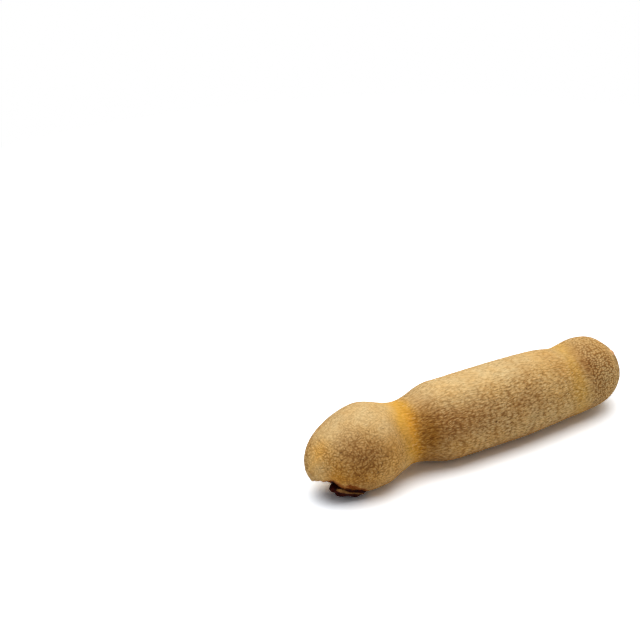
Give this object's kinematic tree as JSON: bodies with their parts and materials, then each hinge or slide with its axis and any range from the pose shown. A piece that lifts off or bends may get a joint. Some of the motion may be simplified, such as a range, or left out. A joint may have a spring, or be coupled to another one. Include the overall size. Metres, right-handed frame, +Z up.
{
  "type": "tamarind pod",
  "caption": "Whole brown tamarind pod with a rounded stem lobe, a drawn-in neck, a long body and a torn stem end showing dark pulp.",
  "frame": {"origin": "on the surface the pod lies on, under the middle of its bounding box", "axes": "+X along the pod from the stem end to the blossom end, +Z up, +Y away from the side with the torn opening's front rim"},
  "size_m": [0.12, 0.0292, 0.0258],
  "materials": {
    "pod_skin": "matte",
    "pulp": "satin",
    "torn_shell": "matte"
  },
  "bodies": {
    "root": {"pod": "pod_skin", "exposed_pulp": "pulp", "shell_splinter": "torn_shell"}
  },
  "joints": []
}
